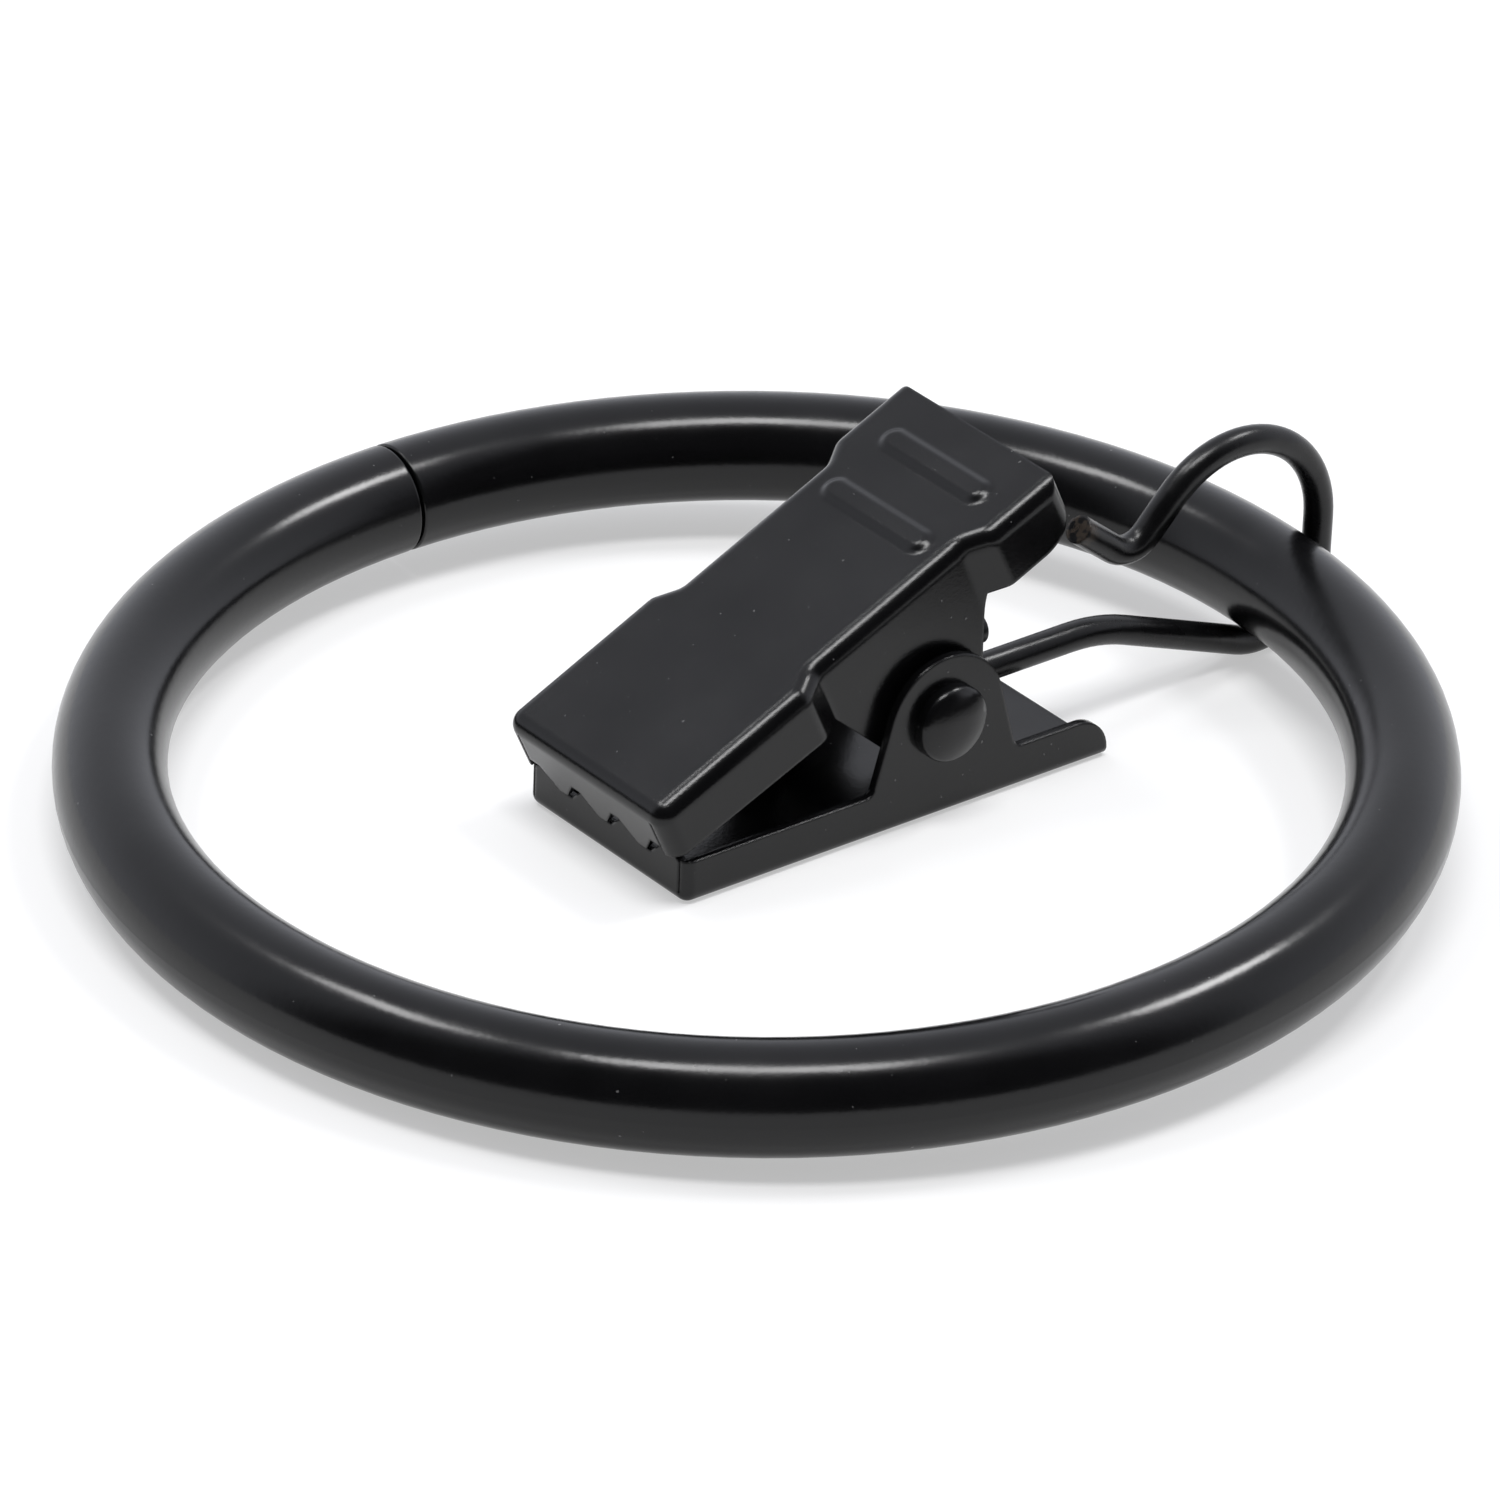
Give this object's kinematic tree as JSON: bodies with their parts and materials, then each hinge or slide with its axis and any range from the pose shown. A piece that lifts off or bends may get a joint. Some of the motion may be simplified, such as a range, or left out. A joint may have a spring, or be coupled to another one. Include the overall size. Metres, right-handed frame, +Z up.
{
  "type": "curtain ring with clip",
  "caption": "Round steel curtain ring with a bent wire hook that swings on it and carries a sprung toothed clip of folded sheet for the curtain's edge",
  "frame": {"origin": "On the floor plane, under the ring's centre, on the flat underside of the clip's lower jaw", "axes": "+X from the ring's centre to the hook, along the clip from its teeth to its tail; +Z up; the part lies as it is put down on a table"},
  "size_m": [0.0625, 0.061, 0.0148],
  "materials": {
    "ring_paint": "semi-gloss black",
    "wire_paint": "semi-gloss black",
    "clip_paint": "satin black",
    "rivet_paint": "satin black",
    "spring_steel": "drawn spring wire"
  },
  "bodies": {
    "ring": {"ring": "ring_paint"},
    "hook": {"hook": "wire_paint"},
    "clip": {"base_jaw": "clip_paint", "pivot_rivet": "rivet_paint", "torsion_spring": "spring_steel"},
    "lever": {"lever_jaw": "clip_paint"}
  },
  "joints": [
    {"name": "hook_swing", "type": "hinge", "parent": "ring", "child": "hook", "pos_m": [0.02799, -0.0006, 0.004], "axis": [0, 1, 0], "continuous": true},
    {"name": "clip_swing", "type": "hinge", "parent": "hook", "child": "clip", "pos_m": [0.00705, 0.0013, 0.00472], "axis": [0, 1, 0], "range_deg": [-14, 5]},
    {"name": "jaw_open", "type": "hinge", "parent": "clip", "child": "lever", "pos_m": [0.00705, 0.0013, 0.00472], "axis": [0, 1, 0], "range_deg": [0, 25], "stiffness_Nm_per_rad": 0.03, "springref_deg": -57.3, "deforming": ["torsion_spring"]}
  ]
}
